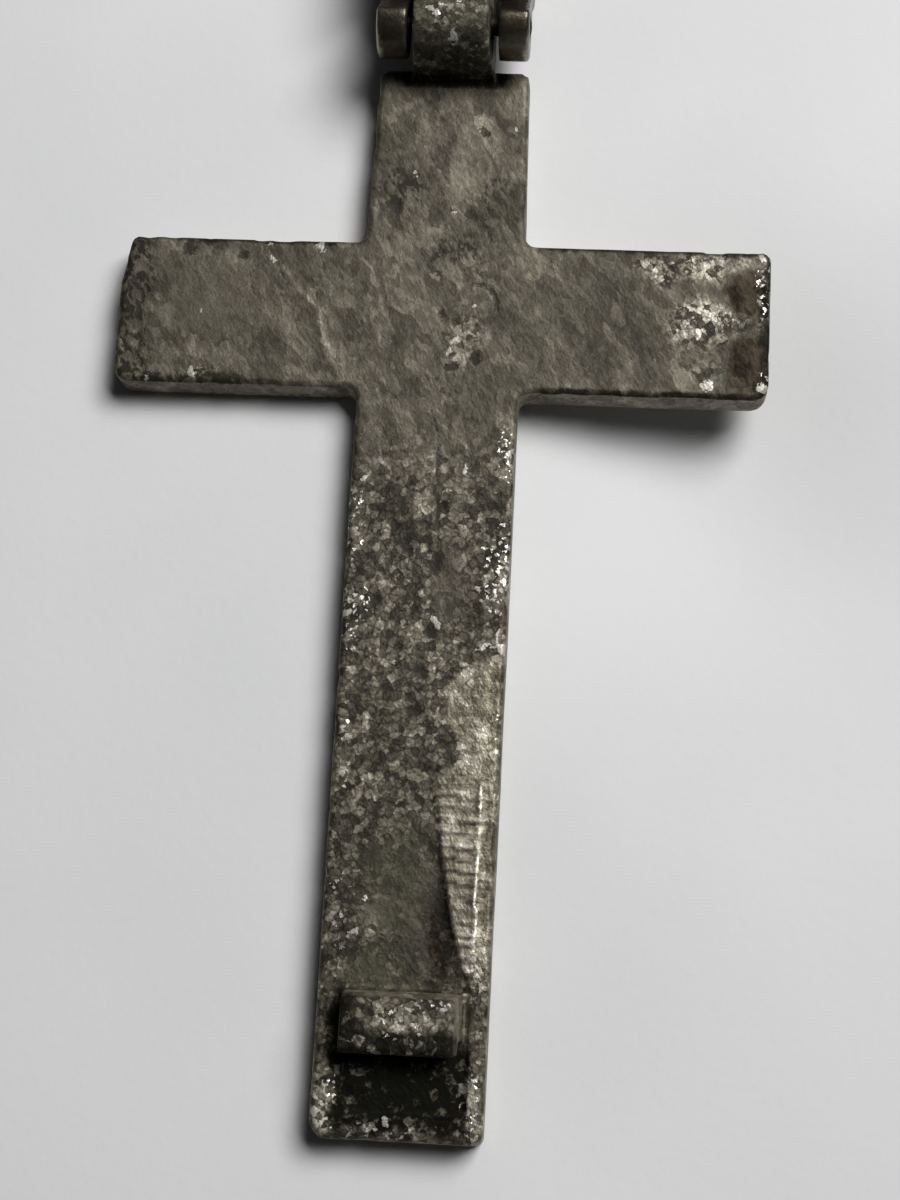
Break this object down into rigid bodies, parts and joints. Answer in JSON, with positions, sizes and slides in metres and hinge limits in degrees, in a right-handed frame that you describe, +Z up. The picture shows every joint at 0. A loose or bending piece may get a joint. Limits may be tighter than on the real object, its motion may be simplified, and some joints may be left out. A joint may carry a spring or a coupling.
{
  "type": "reliquary cross",
  "caption": "Hinged Latin reliquary cross in cast metal: a hollow cross-shaped case and a flat lid with a hinge lug and a catch, lying open.",
  "frame": {"origin": "on the table, straight below the middle of the hinge pin, with the cross lying open and flat", "axes": "+Z up, +Y along the upright from the hinge to the case's foot, X across the arms; the lid runs to -Y"},
  "size_m": [0.0468, 0.157, 0.0081],
  "materials": {
    "lid_metal": "dull grey-brown cast white brass, filed and worn bright along its borders, with greenish residue near the foot",
    "case_metal": "smooth brown-grey polished casting with lighter worn edges",
    "pin_metal": "dark drawn wire with peened ends"
  },
  "bodies": {
    "case": {"case": "case_metal", "hinge_pin": "pin_metal"},
    "lid": {"lid": "lid_metal"}
  },
  "joints": [
    {"name": "lid_hinge", "type": "hinge", "parent": "case", "child": "lid", "pos_m": [0, 0, 0.0055], "axis": [-1, 0, 0], "range_deg": [0, 180]}
  ]
}
